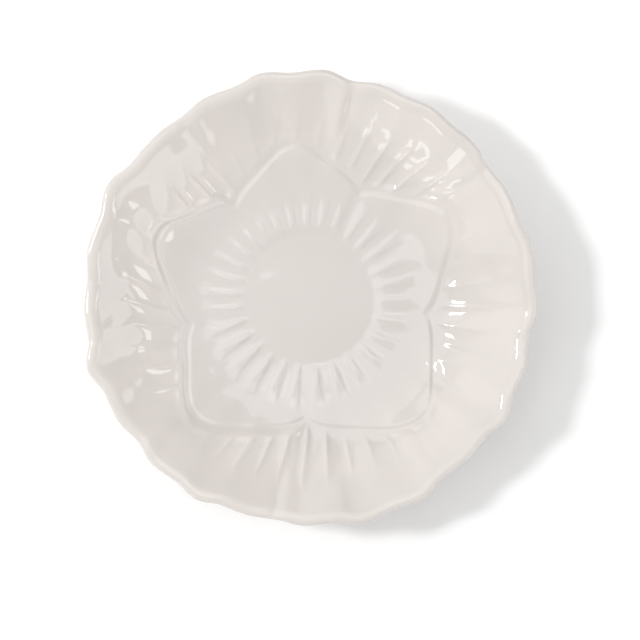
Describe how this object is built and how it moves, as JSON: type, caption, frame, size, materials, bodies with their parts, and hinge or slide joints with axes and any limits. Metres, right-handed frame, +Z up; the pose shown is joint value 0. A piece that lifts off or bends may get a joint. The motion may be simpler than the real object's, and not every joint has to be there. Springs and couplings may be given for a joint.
{
  "type": "ring dish",
  "caption": "Shallow round ceramic dish shaped like a flower, with a scalloped rim, fluted wall and raised inner petals, for holding rings and small jewellery.",
  "frame": {"origin": "on the table, under the middle of the dish", "axes": "+Z up out of the dish; +X to the right and +Y away from the viewer when the dish is seen from above as pictured"},
  "size_m": [0.1093, 0.1098, 0.019],
  "materials": {
    "glaze": "glossy cream-white glaze",
    "pad": "clear soft polyurethane"
  },
  "bodies": {
    "root": {"dish_body": "glaze", "foot_pad_1": "pad", "foot_pad_2": "pad", "foot_pad_3": "pad"}
  },
  "joints": []
}
